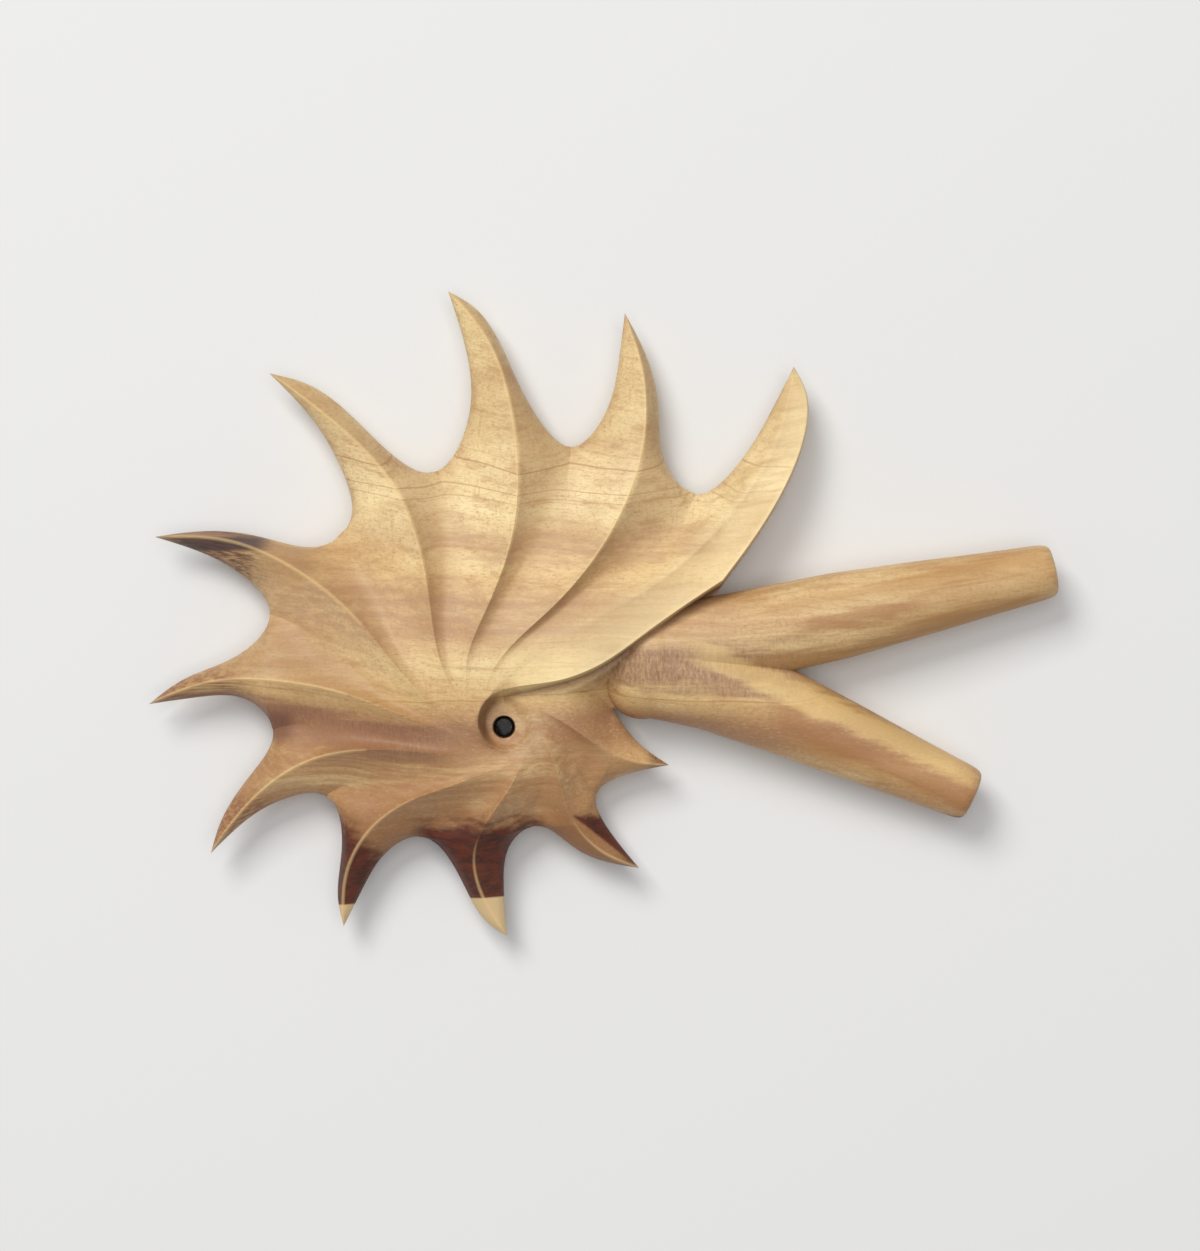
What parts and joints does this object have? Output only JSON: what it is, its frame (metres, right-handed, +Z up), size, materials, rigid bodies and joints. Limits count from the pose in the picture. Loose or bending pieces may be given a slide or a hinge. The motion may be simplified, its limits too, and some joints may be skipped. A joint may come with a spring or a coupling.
{
  "type": "carved wooden self-applicator pipe",
  "caption": "V-shaped pipe carved from one block of wood: a spiny spiral-shell hub with a stone-set eye and two bored round arms.",
  "frame": {"origin": "under the middle of the outline, on the surface the pipe lies on", "axes": "+X from the shell towards the arms' mouths, +Y towards the long spikes, +Z up through the eye stone"},
  "size_m": [0.1908, 0.1354, 0.0233],
  "materials": {
    "wood": "satin, oiled",
    "stone": "polished black stone",
    "cement": "matt"
  },
  "bodies": {
    "root": {"carved_body": "wood", "eye_stone": "stone", "stone_cement": "cement"}
  },
  "joints": []
}
